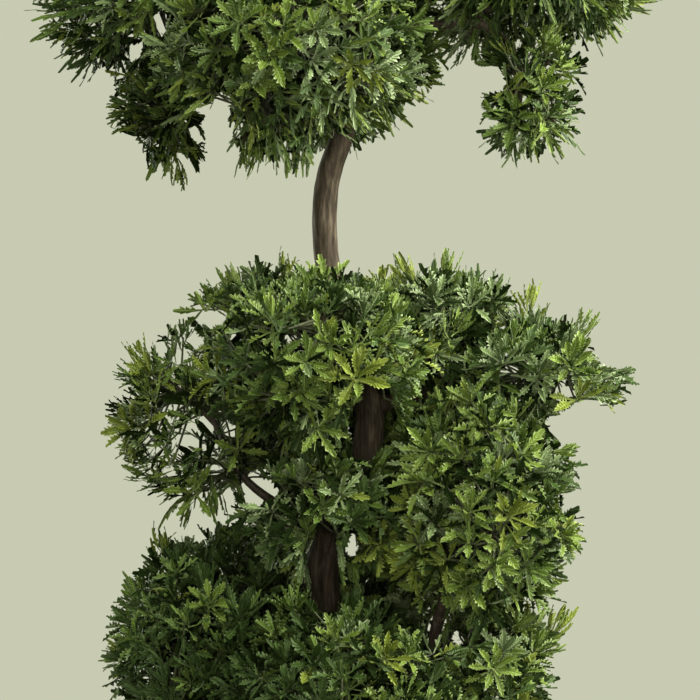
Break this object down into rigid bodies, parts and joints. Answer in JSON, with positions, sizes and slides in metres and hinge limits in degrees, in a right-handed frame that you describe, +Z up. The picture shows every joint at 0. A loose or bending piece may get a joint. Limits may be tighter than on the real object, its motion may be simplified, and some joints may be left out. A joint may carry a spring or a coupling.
{
  "type": "artificial pine bonsai",
  "caption": "Potted artificial pine bonsai: a bent trunk with short boughs carries rounded tiers of dense green foliage above a plain round pot.",
  "frame": {"origin": "centre of the pot's flat underside", "axes": "+Z up the trunk, -Y towards the front that the picture shows, +X to the right in the picture"},
  "size_m": [0.4513, 0.372, 0.9603],
  "materials": {
    "bark": "matt, ridged grey-brown bark",
    "foliage": "satin moulded leaves, bright to dark green",
    "pot": "matt dark grey, stone look",
    "soil": "matt, crumbly dark brown"
  },
  "bodies": {
    "root": {"pot": "pot", "soil": "soil", "trunk": "bark", "bough_crown_left": "bark", "bough_crown_left_hang": "bark", "bough_crown_front": "bark", "bough_crown_right": "bark", "bough_crown_right_hang": "bark", "bough_crown_back": "bark", "bough_mid_left": "bark", "bough_mid_left_top": "bark", "bough_mid_front": "bark", "bough_mid_right_top": "bark", "bough_mid_right": "bark", "bough_mid_right_lobe": "bark", "bough_mid_low_front": "bark", "bough_mid_back": "bark", "bough_low_left": "bark", "bough_low_front": "bark", "bough_low_right": "bark", "bough_low_back": "bark", "crown_top": "foliage", "crown_left": "foliage", "crown_left_hang": "foliage", "crown_front": "foliage", "crown_right": "foliage", "crown_right_hang": "foliage", "crown_back": "foliage", "mid_left": "foliage", "mid_left_top": "foliage", "mid_front": "foliage", "mid_right_top": "foliage", "mid_right": "foliage", "mid_right_lobe": "foliage", "mid_low_front": "foliage", "mid_back": "foliage", "low_left": "foliage", "low_front": "foliage", "low_right": "foliage", "low_back": "foliage"}
  },
  "joints": []
}
